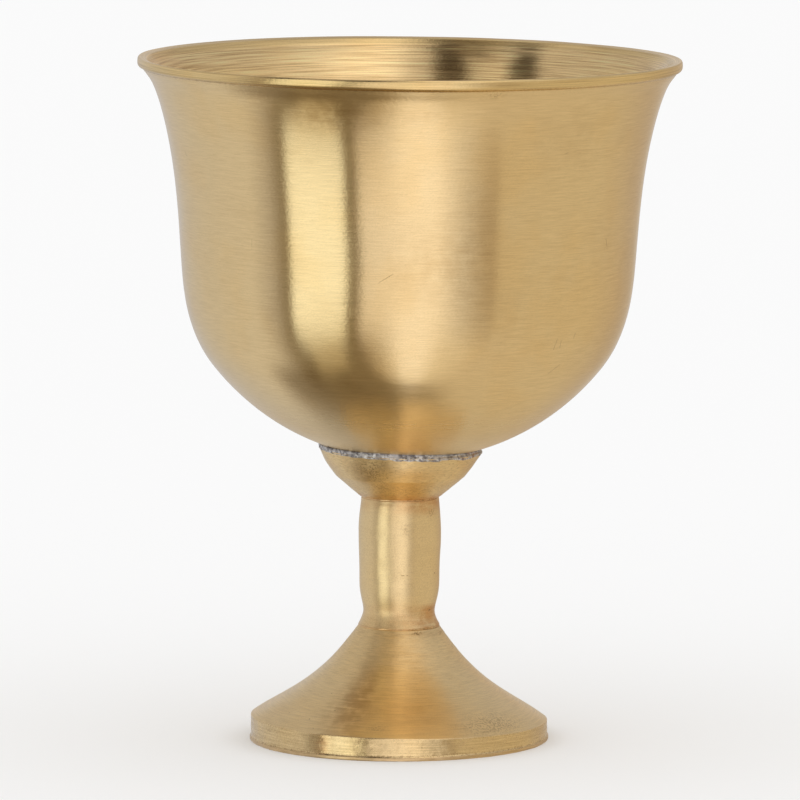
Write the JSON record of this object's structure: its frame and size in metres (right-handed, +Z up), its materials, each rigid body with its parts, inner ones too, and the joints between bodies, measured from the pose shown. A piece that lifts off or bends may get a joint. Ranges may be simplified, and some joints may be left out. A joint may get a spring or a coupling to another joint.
{
  "type": "goblet",
  "caption": "Small brass goblet: flared bowl with a thick lip, soldered to a dished collar on a barrel stem and a conical foot.",
  "frame": {"origin": "centre of the flat ring under the foot, which rests on the table", "axes": "+Z up through the foot, square to the ring it rests on; +X is the side that the bowl is offset and leans towards"},
  "size_m": [0.054, 0.054, 0.0684],
  "materials": {
    "bowl_brass": "satin, finely brushed round the axis",
    "stem_brass": "satin, turned and linished, with heat tint at the seams",
    "foot_brass": "satin, turned, with fine scratches and small pits",
    "brazing_metal": "coppery, dull",
    "soft_solder": "grey, lumpy, part dull and part bright"
  },
  "bodies": {
    "root": {"foot": "foot_brass", "foot_braze": "brazing_metal", "stem": "stem_brass", "collar_braze": "brazing_metal", "collar": "stem_brass", "bowl_solder": "soft_solder", "bowl": "bowl_brass"}
  },
  "joints": []
}
